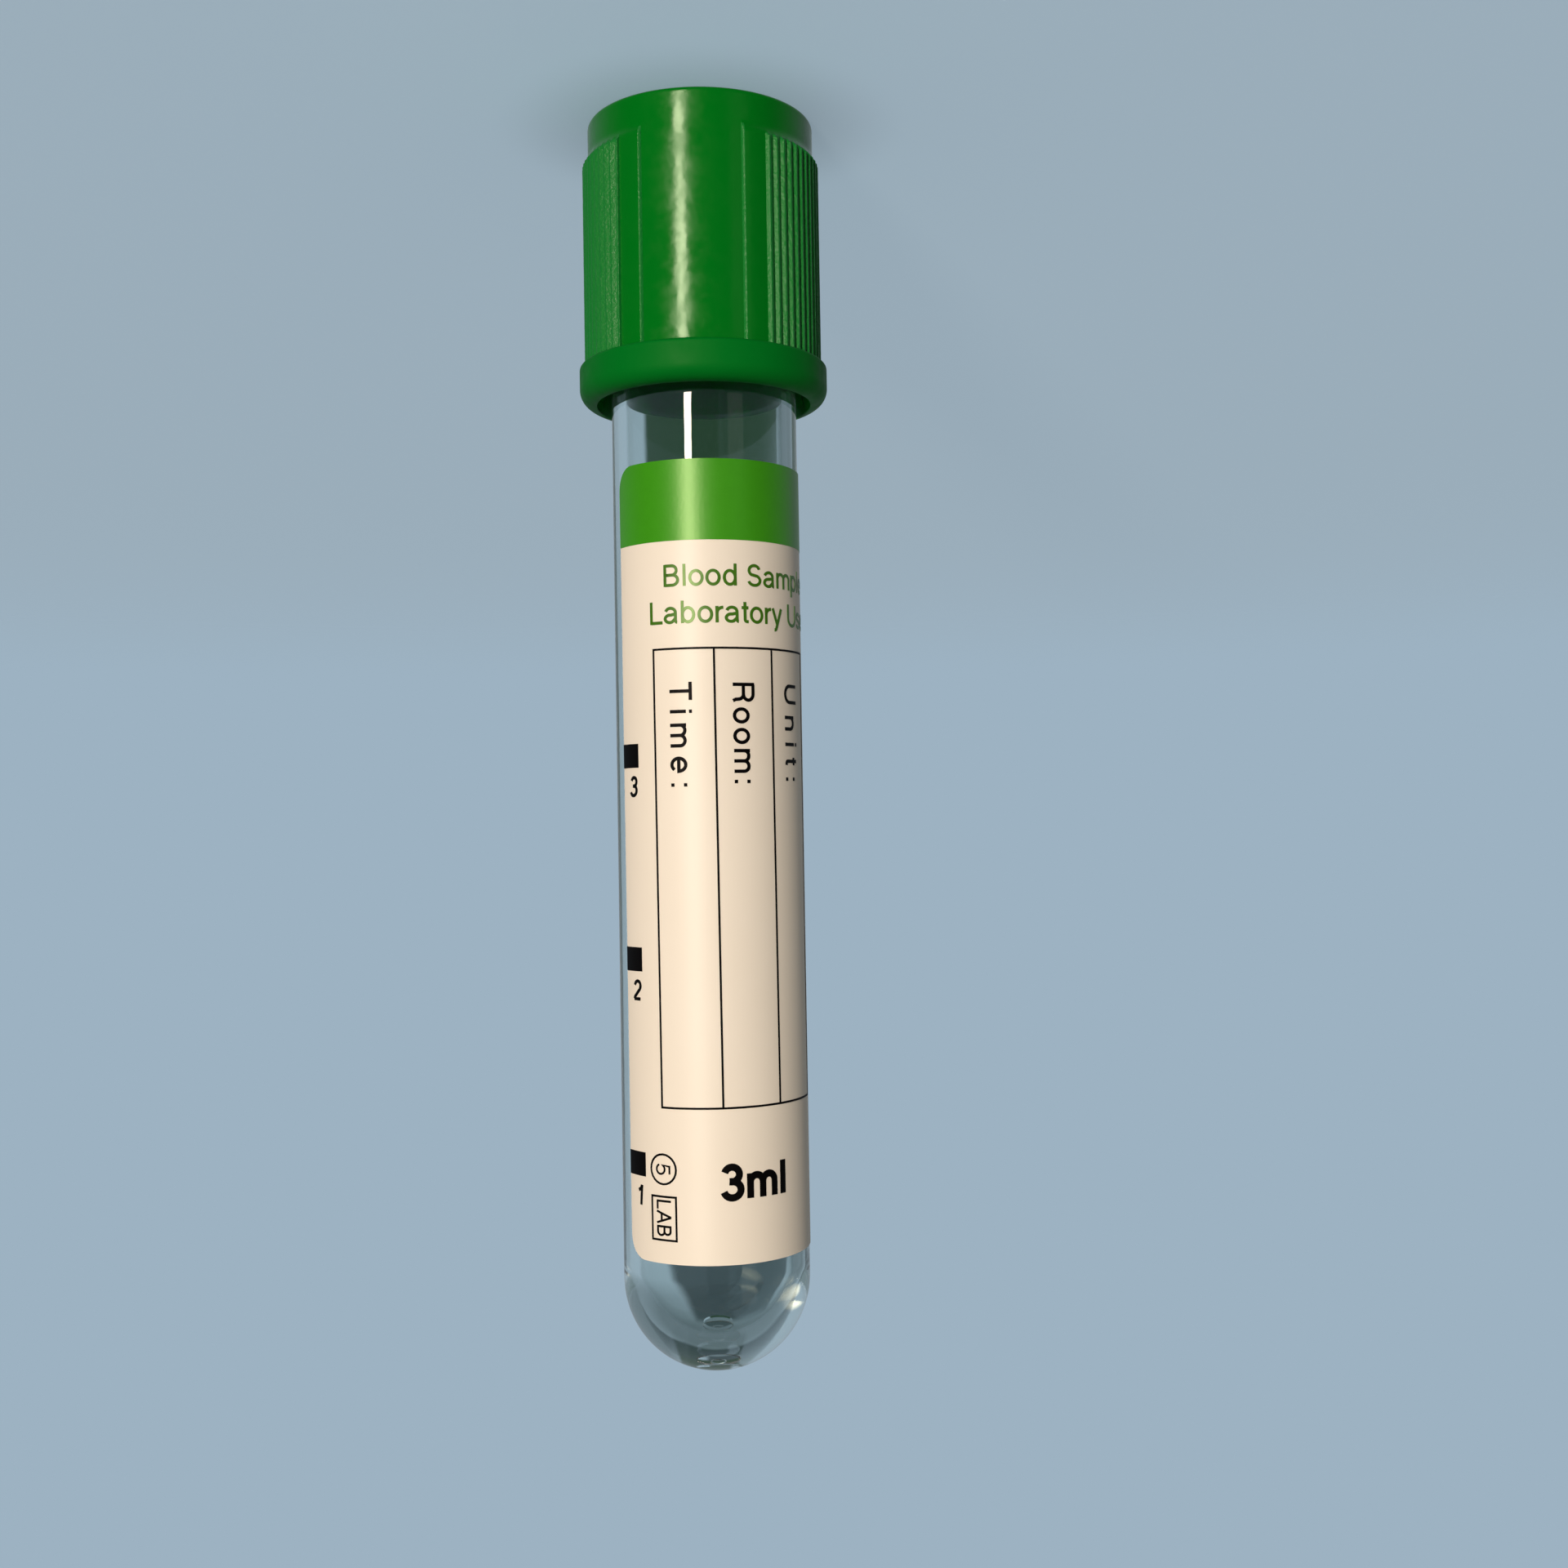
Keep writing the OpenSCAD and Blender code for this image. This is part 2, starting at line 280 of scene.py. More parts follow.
def label_film():
    """Top-coated white polypropylene film: warm white and satin, not quite flat, because the glue
    under it holds tiny bubbles and the film carries the tension it was wound on with. The glue wets
    the tube, so the film's back lies a hair inside the tube's surface and no air shows between."""
    material, shader = new_material("label_film_satin")
    where = add_node(material, "ShaderNodeTexCoord")
    clouds = add_node(
        material, "ShaderNodeTexNoise",
        {"Scale": per_metre(9), "Detail": 3}, {"Vector": (where, "Object")},
    )
    colour = add_node(
        material, "ShaderNodeMix", {"A": linear("#efe6da"), "B": linear("#f3ebe1")},
        {"Factor": (clouds, "Fac")}, data_type="RGBA",
    )
    grain = add_node(
        material, "ShaderNodeTexNoise",
        {"Scale": per_metre(0.25), "Detail": 3}, {"Vector": (where, "Object")},
    )
    bump = add_node(
        material, "ShaderNodeBump",
        {"Strength": 0.25, "Distance": 0.01 * MM}, {"Height": (grain, "Fac")},
    )
    links = material.node_tree.links
    links.new(colour.outputs["Result"], shader.inputs["Base Color"])
    links.new(bump.outputs["Normal"], shader.inputs["Normal"])
    shader.inputs["Roughness"].default_value = 0.42
    shader.inputs["Specular IOR Level"].default_value = 0.4
    return material


add_piece(
    "label_film",
    *wrapped_strip(
        label_columns(), corner_drop, lambda across: LABEL_LEN - corner_drop(across),
        FILM_BACK_R, LABEL_R,
    ),
    label_film(), "vessel", "label", "label_film",
)

# ---------------------------------------------------------------------------------------------
# Green printing
# The band that tells the tube's kind from across a room, in yellow-green ink, and two lines of
# plain words in a darker mix of it. The ink is a film far thinner than the label.
# ---------------------------------------------------------------------------------------------
INK_BACK_R = LABEL_R - 0.002
INK_R = LABEL_R + 0.02
BAND_LEN = 5.05
SLICE_W = 0.3
X_HEIGHT = 0.73
# half the pen's width that the letters are drawn for, as a part of a capital's height
HALF_PEN = 0.0585
WORD_SPACE = 0.36
BOW_STEP = 15
# a stroke's corners are mitred in full down to this cosine of half their turn
FULL_MITRE = 0.6
TOUCHING = 1e-6
HEAVY_INK = 0.9
GREEN_PEN = 0.14
# words, a capital's height, the angle of their left edge and how far up the tube they stand
GREEN_WORDS = (("Blood Sample", 1.37, -24, 49.8), ("Laboratory Use", 1.4, -33.6, 47.5))


def bow(x, y, wide, high, start, end):
    """Points along part of an ellipse, from one direction to another in degrees from its right"""
    steps = math.ceil(abs(end - start) / BOW_STEP)
    turns = [math.radians(start + (end - start) * i / steps) for i in range(steps + 1)]
    return [(x + wide * math.cos(t), y + high * math.sin(t)) for t in turns]


def letters():
    """A plain sans serif alphabet for this label. Each letter has its set width and the middles of
    its pen strokes, as parts of a capital's height."""
    capital_top = 1 - HALF_PEN
    low_top = X_HEIGHT - HALF_PEN
    low_mid = X_HEIGHT / 2
    base = HALF_PEN
    bowl_high = low_mid - 0.05
    stem = 0.134
    return {
        "A": (0.93, [
            [(0.05, 0), (0.465, 1)], [(0.465, 1), (0.88, 0)], [(0.19, 0.34), (0.74, 0.34)],
        ]),
        "B": (0.93, [
            [(0.16, 0), (0.16, 1)],
            [(0.16, capital_top), *bow(0.5, 0.73, 0.22, capital_top - 0.73, 90, -90), (0.16, 0.52)],
            [(0.16, 0.52), *bow(0.52, 0.29, 0.26, 0.23, 90, -90), (0.16, base)],
        ]),
        "L": (0.77, [[(0.14, 0), (0.14, 1)], [(0.14, base), (0.72, base)]]),
        "R": (1.0, [
            [(0.16, 0), (0.16, 1)],
            [(0.16, capital_top), *bow(0.58, 0.71, 0.26, capital_top - 0.71, 90, -90), (0.16, 0.48)],
            [(0.55, 0.48), *bow(0.58, 0.26, 0.22, 0.22, 75, 0), (0.81, 0.12), (0.87, 0)],
        ]),
        "S": (0.93, [[
            *bow(0.46, 0.72, 0.27, capital_top - 0.71, 15, 235),
            *bow(0.465, 0.275, 0.3, 0.225, 60, -168),
        ]]),
        "T": (0.85, [[(0.03, capital_top), (0.82, capital_top)], [(0.425, 0), (0.425, 1)]]),
        "U": (1.0, [[(0.14, 1), *bow(0.5, 0.38, 0.36, 0.33, 180, 360), (0.86, 1)]]),
        "a": (0.77, [
            [
                *bow(0.345, 0.49, 0.235, low_top - 0.48, 165, 0),
                (0.58, 0.13), *bow(0.66, 0.13, 0.08, 0.08, 180, 270),
            ],
            [(0.58, 0.42), *bow(0.31, 0.215, 0.225, 0.165, 80, 300), (0.58, 0.22)],
        ]),
        "b": (0.77, [
            [(stem, 0), (stem, 1)],
            bow(0.387, low_mid, 0.255, bowl_high, 0, 360),
        ]),
        "d": (0.77, [
            [(0.64, 0), (0.64, 1)],
            bow(0.387, low_mid, 0.255, bowl_high, 0, 360),
        ]),
        "e": (0.77, [
            [(0.115, low_mid), *bow(0.387, low_mid, 0.28, bowl_high, 0, 320)],
        ]),
        "i": (0.31, [[(0.155, 0), (0.155, X_HEIGHT)], [(0.155, 0.87), (0.155, 1)]]),
        "l": (0.31, [[(0.155, 0), (0.155, 1)]]),
        "m": (1.16, [
            [(stem, 0), (stem, X_HEIGHT)],
            [*bow(0.357, 0.46, 0.223, low_top - 0.46, 180, 0), (0.58, 0)],
            [*bow(0.803, 0.46, 0.223, low_top - 0.46, 180, 0), (1.026, 0)],
        ]),
        "n": (0.77, [
            [(stem, 0), (stem, X_HEIGHT)],
            [*bow(0.387, 0.43, 0.253, low_top - 0.43, 180, 0), (0.64, 0)],
        ]),
        "o": (0.77, [bow(0.387, low_mid, 0.28, bowl_high, 0, 360)]),
        "p": (0.77, [
            [(stem, -0.29), (stem, X_HEIGHT)],
            bow(0.387, low_mid, 0.255, bowl_high, 0, 360),
        ]),
        "r": (0.46, [
            [(stem, 0), (stem, X_HEIGHT)],
            bow(0.41, 0.42, 0.276, low_top - 0.42, 180, 88),
        ]),
        "s": (0.7, [[
            *bow(0.345, 0.525, 0.215, low_top - 0.515, 15, 235),
            *bow(0.35, 0.2, 0.24, 0.15, 60, -168),
        ]]),
        "t": (0.39, [
            [(0.19, 0.93), *bow(0.28, 0.15, 0.09, 0.15 - base, 180, 270), (0.36, base)],
            [(0.03, low_top), (0.36, low_top)],
        ]),
        "y": (0.7, [
            [(0.07, X_HEIGHT), (0.35, 0)],
            [(0.63, X_HEIGHT), (0.35, 0), (0.29, -0.17), *bow(0.19, -0.13, 0.1, 0.1, -30, -100)],
        ]),
        ":": (0.39, [[(0.19, 0), (0.19, 0.15)], [(0.19, X_HEIGHT - 0.15), (0.19, X_HEIGHT)]]),
        "1": (0.77, [[(0.44, 0), (0.44, 1)], [(0.16, 0.72), *bow(0.16, 0.99, 0.27, 0.25, 290, 360)]]),
        "2": (0.77, [
            [*bow(0.38, 0.7, 0.27, capital_top - 0.69, 170, -40), (0.16, 0.16), (0.11, base)],
            [(0.11, base), (0.69, base)],
        ]),
        "3": (0.77, [
            [*bow(0.375, 0.735, 0.24, capital_top - 0.725, 165, -90), (0.29, 0.525)],
            [(0.29, 0.525), *bow(0.38, 0.285, 0.28, 0.24, 90, -165)],
        ]),
        "5": (0.77, [[
            (0.65, capital_top), (0.2, capital_top), (0.13, 0.45),
            *bow(0.38, 0.33, 0.28, 0.285, 130, -160),
        ]]),
    }


def pen_stroke(flat, points, pen):
    """Adds a line of one width along the points to a flat mesh. It closes on itself if they do."""
    closed = math.dist(points[0], points[-1]) < TOUCHING
    if closed:
        points = points[:-1]
    count = len(points)
    sides = []
    for i in range(count):
        before = points[i - 1] if i or closed else points[0]
        after = points[(i + 1) % count] if i < count - 1 or closed else points[-1]
        here = Vector(points[i])
        ways = [(here - Vector(before)).normalized(), (Vector(after) - here).normalized()]
        way = (ways[0] + ways[1]).normalized()
        mitre = max(FULL_MITRE, max(way.dot(w) for w in ways))
        off = Vector((-way.y, way.x)) * pen / 2 / mitre
        sides.append([flat.verts.new((*(here + off * side), 0)) for side in (1, -1)])
    for i in range(count if closed else count - 1):
        j = (i + 1) % count
        flat.faces.new((sides[i][0], sides[i][1], sides[j][1], sides[j][0]))


def lettered(words, height, pen, width=1.0, gap=0.0, slant=0.0):
    """Flat words from their lower left corner, in mm: a capital's height, the pen's width and the
    extra gap between letters as parts of it, how wide the letters are and how far they lean."""
    flat = bmesh.new()
    at = 0
    for letter in words:
        if letter == " ":
            at += WORD_SPACE * width + gap
            continue
        set_width, strokes = LETTERS[letter]
        for stroke in strokes:
            pen_stroke(flat, [(at + (x + slant * y) * width, y) for x, y in stroke], pen)
        at += set_width * width + gap
    for vertex in flat.verts:
        vertex.co *= height
    return flat


def slice_along_x(flat):
    """Cuts a flat mesh into upright strips narrow enough to follow the tube's curve."""
    low = min(vertex.co.x for vertex in flat.verts)
    high = max(vertex.co.x for vertex in flat.verts)
    for i in range(1, math.ceil((high - low) / SLICE_W)):
        bmesh.ops.bisect_plane(
            flat, geom=flat.verts[:] + flat.edges[:] + flat.faces[:], dist=TOUCHING,
            plane_co=(low + i * SLICE_W, 0, 0), plane_no=(1, 0, 0),
        )


def inked(flat):
    """Points and faces of a flat mesh, in mm on the label's sheet, given the ink's thickness"""
    slice_along_x(flat)
    flat.verts.ensure_lookup_table()
    flat.verts.index_update()
    flat.normal_update()
    bottom = [on_label(v.co.x, v.co.y, INK_BACK_R) for v in flat.verts]
    top = [on_label(v.co.x, v.co.y, INK_R) for v in flat.verts]
    count = len(bottom)
    faces = []
    for face in flat.faces:
        loop = [v.index for v in face.verts]
        if face.normal.z < 0:
            loop.reverse()
        faces.append([i + count for i in loop])
        faces.append(loop[::-1])
        for a, b in zip(loop, loop[1:] + loop[:1]):
            edge = flat.edges.get((flat.verts[a], flat.verts[b]))
            if len(edge.link_faces) == 1:
                faces.append([a, b, b + count, a + count])
    flat.free()
    return bottom + top, faces


def joined(parts):
    """Several lots of points and faces as one"""
    points = []
    faces = []
    for part_points, part_faces in parts:
        shift = len(points)
        points += part_points
        faces += [[i + shift for i in face] for face in part_faces]
    return points, faces


def printed(flat, across, up, turned_down=False):
    """Puts flat words in their place on the label, and turns them to read towards the closed end"""
    for vertex in flat.verts:
        x, y = vertex.co.xy
        vertex.co.xy = (across + y, up - x) if turned_down else (across + x, up + y)
    return inked(flat)


def label_ink(name, colour, roughness, gloss, tint):
    """Flexographic ink: lies smooth on the film, the green a little glossier than it and the black
    duller, with faint mottle where the plate put down more or less of it, and the fine grain of
    the roller that carried it, drawn coarse enough to show."""
    material, shader = new_material(name)
    where = add_node(material, "ShaderNodeTexCoord")
    mottle = add_node(
        material, "ShaderNodeTexNoise",
        {"Scale": per_metre(0.6), "Detail": 4}, {"Vector": (where, "Object")},
    )
    heavy = [part * HEAVY_INK for part in linear(colour)[:3]] + [1]
    shade = add_node(
        material, "ShaderNodeMix", {"A": linear(colour), "B": heavy},
        {"Factor": (mottle, "Fac")}, data_type="RGBA",
    )
    grain = add_node(
        material, "ShaderNodeTexNoise",
        {"Scale": per_metre(0.22), "Detail": 1}, {"Vector": (where, "Object")},
    )
    bump = add_node(
        material, "ShaderNodeBump",
        {"Strength": 1, "Distance": 0.005 * MM}, {"Height": (grain, "Fac")},
    )
    links = material.node_tree.links
    links.new(shade.outputs["Result"], shader.inputs["Base Color"])
    links.new(bump.outputs["Normal"], shader.inputs["Normal"])
    shader.inputs["Roughness"].default_value = roughness
    shader.inputs["Specular IOR Level"].default_value = gloss
    shader.inputs["Specular Tint"].default_value = linear(tint)
    return material


LETTERS = letters()
green_ink = label_ink("green_label_ink", "#3a9810", 0.35, 0.85, "#e4ffc4")
dark_green_ink = label_ink("dark_green_label_ink", "#3d710d", 0.36, 0.85, "#e4ffc4")
band = wrapped_strip(
    label_columns(), lambda across: LABEL_LEN - BAND_LEN,
    lambda across: LABEL_LEN - corner_drop(across), INK_BACK_R, INK_R,
)
add_piece("green_band", *band, green_ink, "vessel", "green_print", "green_ink")
add_piece(
    "green_words",
    *joined([
        printed(lettered(words, height, GREEN_PEN), across_at(angle), station - LABEL_FROM)
        for words, height, angle, station in GREEN_WORDS
    ]),
    dark_green_ink, "vessel", None, "green_ink",
)

# ---------------------------------------------------------------------------------------------
# Black printing
# A table of three columns to write in, the volume marks with their numbers, the tube's volume,
# and two plain symbols. All are one pass of black ink.
# ---------------------------------------------------------------------------------------------
LINE_W = 0.13
TABLE_FROM = 17.5 - LABEL_FROM
TABLE_LEN = 28.5
TABLE_EDGE = across_at(-31.4)
COLUMN_W = 4
# each column's heading, and the extra gap between its letters as a part of a capital's height
COLUMN_WORDS = {"Time:": 0.3, "Room:": 0.12, "Unit:": 0.4}
WORDS_INSET = 1.16
WORDS_TOP = 43.9 - LABEL_FROM
FIRST_MARK = 13.9 - LABEL_FROM
MARK_PITCH = 12.75
MARK_H = 1.5
MARK_W = 1.68
NUMBER_EDGE = across_at(-53.5)
NUMBER_DROP = 2.55
SYMBOL_AT = across_at(-31.1)
SYMBOL_H = 1.05
SYMBOL_EDGE = SYMBOL_AT - 0.52
RING_AT = 13.75 - LABEL_FROM
RING_R = 0.985
RING_NUMBER_TOP = RING_AT + 0.4
BOX_FROM = 9.33 - LABEL_FROM
BOX_W = 1.9
BOX_LEN = 2.8
BOX_WORD_TOP = BOX_FROM + 2.58
VOLUME_EDGE = across_at(4)
VOLUME_FROM = 11.97 - LABEL_FROM


def patch(left, low, width, height):
    """A rectangle of ink"""
    flat = bmesh.new()
    corners = ((left, low), (left + width, low), (left + width, low + height), (left, low + height))
    flat.faces.new([flat.verts.new((x, y, 0)) for x, y in corners])
    return inked(flat)


def ruled_frame(left, low, width, height, cells):
    """Two lines round the label with upright lines between them"""
    step = (width - LINE_W) / cells
    lines = [patch(left, low, width, LINE_W), patch(left, low + height - LINE_W, width, LINE_W)]
    for i in range(cells + 1):
        lines.append(patch(left + i * step, low + LINE_W, LINE_W, height - 2 * LINE_W))
    return lines


def ring(across, up, radius):
    """A ring of ink as wide as the ruled lines"""
    flat = bmesh.new()
    middle = radius - LINE_W / 2
    pen_stroke(flat, bow(across, up, middle, middle, 0, 360), LINE_W)
    return inked(flat)


black_ink = label_ink("black_label_ink", "#060405", 0.5, 0.08, "#ffffff")
marks = []
for i in range(3):
    middle = FIRST_MARK + i * MARK_PITCH
    marks.append(patch(0, middle - MARK_H / 2, MARK_W, MARK_H))
    number = lettered(str(i + 1), height=1.25, pen=0.17, width=0.85, slant=0.1)
    marks.append(printed(number, NUMBER_EDGE, middle - NUMBER_DROP))
ring_number = lettered("5", SYMBOL_H, pen=0.12)
box_word = lettered("LAB", SYMBOL_H, pen=0.13, width=0.82, gap=0.04)
symbols = [
    ring(SYMBOL_AT, RING_AT, RING_R),
    printed(ring_number, SYMBOL_EDGE, RING_NUMBER_TOP, turned_down=True),
    *ruled_frame(SYMBOL_AT - BOX_W / 2, BOX_FROM, BOX_W, BOX_LEN, cells=1),
    printed(box_word, SYMBOL_EDGE, BOX_WORD_TOP, turned_down=True),
]
column_words = []
for i, (words, gap) in enumerate(COLUMN_WORDS.items()):
    heading = lettered(words, height=1.43, pen=0.15, gap=gap)
    edge = TABLE_EDGE + i * COLUMN_W + WORDS_INSET
    column_words.append(printed(heading, edge, WORDS_TOP, turned_down=True))
columns = len(COLUMN_WORDS)
table = ruled_frame(TABLE_EDGE, TABLE_FROM, columns * COLUMN_W, TABLE_LEN, columns)
volume_words = lettered("3ml", height=2.08, pen=0.215, width=0.93, gap=0.07)
volume = printed(volume_words, VOLUME_EDGE, VOLUME_FROM)
add_piece(
    "black_marks", *joined(marks + symbols + column_words + table + [volume]), black_ink,
    "vessel", "black_print", "black_ink",
)

# ---------------------------------------------------------------------------------------------
# Stopper
# Moulded in dark butyl rubber. The plug seals the bore and is hollow underneath, and the head
# sits on the rim, with a dished needle target on top.
# ---------------------------------------------------------------------------------------------
PLUG_R = 4.95
PLUG_FROM = 67
HEAD_R = 6.45
HEAD_TO = 79.2
HOLLOW_R = 3
HOLLOW_DEPTH = 5
HOLLOW_ROUND = 1.5
HOLLOW_EDGE = 0.2
LEAD_IN = 0.5
NECK_EDGE = 0.01
HEAD_LOW_EDGE = 0.2
HEAD_TOP_EDGE = 0.4
DISH_R = 3.2
DISH_DEPTH = 1.4


def stopper_outline():
    """From the hollow's roof, out over the plug and the head, and in over the dish"""
    dish_size = (DISH_R ** 2 + DISH_DEPTH ** 2) / (2 * DISH_DEPTH)
    dish_turn = math.degrees(math.asin(DISH_R / dish_size))
    roof = PLUG_FROM + HOLLOW_DEPTH
    return [
        (roof, 0),
        (roof, HOLLOW_R / 2),
        *arc(roof - HOLLOW_ROUND, HOLLOW_R - HOLLOW_ROUND, HOLLOW_ROUND, 0, 90, steps=8),
        (PLUG_FROM + HOLLOW_EDGE, HOLLOW_R),
        (PLUG_FROM, HOLLOW_R + HOLLOW_EDGE),
        *arc(PLUG_FROM + LEAD_IN, PLUG_R - LEAD_IN, LEAD_IN, 180, 90, steps=8),
        (TUBE_LEN - NECK_EDGE, PLUG_R),
        (TUBE_LEN, PLUG_R + NECK_EDGE),
        *arc(TUBE_LEN + HEAD_LOW_EDGE, HEAD_R - HEAD_LOW_EDGE, HEAD_LOW_EDGE, 180, 90, steps=6),
        *arc(HEAD_TO - HEAD_TOP_EDGE, HEAD_R - HEAD_TOP_EDGE, HEAD_TOP_EDGE, 90, 0, steps=8),
        *arc(HEAD_TO - DISH_DEPTH + dish_size, 0, dish_size, 180 - dish_turn, 180, steps=16)[:-1],
        (HEAD_TO - DISH_DEPTH, 0),
    ]


def butyl_rubber():
    """Butyl rubber off a blasted mould: dark, dull, slightly dusty, with a fine pebble. Its colours
    are darkened and tinted green, as painted shade and painted green light from the cap round it.
    """
    material, shader = new_material("butyl_rubber_moulded")
    where = add_node(material, "ShaderNodeTexCoord")
    dust = add_node(
        material, "ShaderNodeTexNoise",
        {"Scale": per_metre(1.2), "Detail": 5}, {"Vector": (where, "Object")},
    )
    # dust as random tone, between two colours that are darkened and greened as painted shade and
    # painted green light from the cap
    shade = add_node(
        material, "ShaderNodeMix", {"A": linear("#333e32"), "B": linear("#465343")},
        {"Factor": (dust, "Fac")}, data_type="RGBA",
    )
    pebble = add_node(
        material, "ShaderNodeTexNoise",
        {"Scale": per_metre(0.12), "Detail": 2}, {"Vector": (where, "Object")},
    )
    bump = add_node(
        material, "ShaderNodeBump",
        {"Strength": 0.5, "Distance": 0.02 * MM}, {"Height": (pebble, "Fac")},
    )
    links = material.node_tree.links
    links.new(shade.outputs["Result"], shader.inputs["Base Color"])
    links.new(bump.outputs["Normal"], shader.inputs["Normal"])
    shader.inputs["Roughness"].default_value = 0.75
    return material


add_piece(
    "rubber_stopper", *turned(stopper_outline()), butyl_rubber(),
    "stopper", "stopper", "butyl_rubber",
)

# ---------------------------------------------------------------------------------------------
# Cap
# One moulding in green polyethylene: a bead round the open edge, two raised panels of fine ribs
# for grip, and plain zones up to a plain top ring. Its mould is polished, but a spark cut the
# ribs and the panels' edges, and the bead was blasted.
# ---------------------------------------------------------------------------------------------
CAP_FROM = 62.25
CAP_R = 7.33
CAP_EDGE = 0.25
CAP_BORE_R = 6.5
MOUTH_R = 6.95
FLARE_LEN = 1.95
BEAD_R = 8.05
BEAD_TO = CAP_FROM + 2.5
BEAD_ROUND = 1.05
BEAD_SHOULDER = 0.25
BEAD_FILLET = 0.15
MOUTH_EDGE = 0.05
SNAP_R = 6.3
SNAP_FROM = 74.15
SNAP_TO = 74.65
SNAP_SLOPE = CAP_BORE_R - SNAP_R
PANEL_R = 7.5
RIBBED_R = 7.7
PANEL_TO = 78.35
PANEL_SLOPE = 0.35
RIB_END_GAP = 0.05
RIBS_TO = PANEL_TO - PANEL_SLOPE - RIB_END_GAP
PORT_R = 4
PORT_EDGE = 0.1
CAP_END = 1.2
RECESS_SPAN = 50
STRIP_SPAN = 12.5
RIBS = 24
RIB_DEPTH = 0.18
STEEP_SHARE = 0.27
GENTLE_SHARE = 0.55
LAST_GAP = 0.5
# how close beside a rib's fold its extra points stand, in ribs
FOLD = 0.03
CAP_TURN = -2.3
# the finishes of the cap's faces, in the order of its materials
POLISHED, ERODED, BLASTED = range(3)
PANEL_SPAN = 180 - RECESS_SPAN
RIB_PITCH = (PANEL_SPAN - 2 * STRIP_SPAN) / (RIBS - LAST_GAP)
EDGE_SPAN = 1.5
EDGE_STEPS = 8
STRIP_STEPS = 5
RECESS_STEPS = 24
LAST_FLANK = 0.1
ROUNDING = 0.01
ROW_PITCH = 0.2
TOP_ROW_GAP = 0.1
# how far the ribs' tops wander, in ribs, and how rough they are, in mm, each with the length in mm
# over which it changes and how far apart two ribs' own patterns are
WANDER = 0.04
WANDER_LEN = 0.7
WANDER_STRIDE = 5
RIB_ROUGHNESS = 0.008
ROUGH_LEN = 0.3
ROUGH_STRIDE = 3


def cap_rows():
    """The cap's outline without its panels, from the needle opening out over the top, down the
    outside, round the bead and up the bore, as (station, radius) and whether it is outside"""
    wall_from = BEAD_TO + BEAD_FILLET
    wall_to = LENGTH - CAP_EDGE - TOP_ROW_GAP
    count = math.ceil((wall_to - wall_from) / ROW_PITCH)
    wall = [(wall_to - (wall_to - wall_from) * i / count, CAP_R) for i in range(count + 1)]
    seat = LENGTH - CAP_END
    outside = [
        (LENGTH, PORT_R + PORT_EDGE),
        *arc(LENGTH - CAP_EDGE, CAP_R - CAP_EDGE, CAP_EDGE, 0, 90, steps=6),
        *wall,
        *arc(wall_from, CAP_R + BEAD_FILLET, BEAD_FILLET, 270, 180, steps=4)[1:],
        *arc(BEAD_TO - BEAD_SHOULDER, BEAD_R - BEAD_SHOULDER, BEAD_SHOULDER, 0, 90, steps=8),
        *arc(CAP_FROM + BEAD_ROUND, BEAD_R - BEAD_ROUND, BEAD_ROUND, 90, 180, steps=16),
    ]
    inside = [
        (CAP_FROM + MOUTH_EDGE, MOUTH_R),
        (CAP_FROM + FLARE_LEN, CAP_BORE_R),
        (SNAP_FROM - SNAP_SLOPE, CAP_BORE_R),
        (SNAP_FROM, SNAP_R),
        (SNAP_TO, SNAP_R),
        (SNAP_TO + SNAP_SLOPE, CAP_BORE_R),
        (seat, CAP_BORE_R),
        (seat, PORT_R),
        (LENGTH - PORT_EDGE, PORT_R),
    ]
    return [(s, r, True) for s, r in outside] + [(s, r, False) for s, r in inside]


def cap_columns():
    """Angles round one panel and one recess, closest together where the surface steps or folds"""
    edge = [EDGE_SPAN * i / EDGE_STEPS for i in range(EDGE_STEPS + 1)]
    strip_step = (STRIP_SPAN - EDGE_SPAN) / STRIP_STEPS
    strip = [EDGE_SPAN + strip_step * i for i in range(1, STRIP_STEPS)]
    gentle_from = 1 - GENTLE_SHARE
    rib_parts = (
        0, STEEP_SHARE / 2, STEEP_SHARE - FOLD, STEEP_SHARE, (STEEP_SHARE + gentle_from) / 2,
        gentle_from, gentle_from + FOLD, 1 - GENTLE_SHARE / 2,
    )
    ribs = []
    for i in range(RIBS + 1):
        ribs += [STRIP_SPAN + (i + part) * RIB_PITCH for part in rib_parts]
    recess = [PANEL_SPAN + RECESS_SPAN * i / RECESS_STEPS for i in range(1, RECESS_STEPS)]
    half = edge + strip
    last_rib = PANEL_SPAN - STRIP_SPAN
    ribs = [angle for angle in ribs if angle < last_rib] + [last_rib, last_rib + LAST_FLANK]
    return half + ribs + [PANEL_SPAN - angle for angle in reversed(half)] + recess


def rib_radius(turn, station):
    """The ribs' outer radius where this many of them are passed. Their left flanks are steep and
    their right ones gentle, and the tops wander a little, as the spark left them."""
    wander = WANDER * noise.noise(Vector((station / WANDER_LEN, WANDER_STRIDE * round(turn), 0)))
    across = (turn + wander) % 1
    depth = max(0, 1 - across / STEEP_SHARE, (across - 1 + GENTLE_SHARE) / GENTLE_SHARE)
    rough = RIB_ROUGHNESS * noise.noise(Vector((station / ROUGH_LEN, turn * ROUGH_STRIDE, 0)))
    return RIBBED_R - RIB_DEPTH * depth + rough


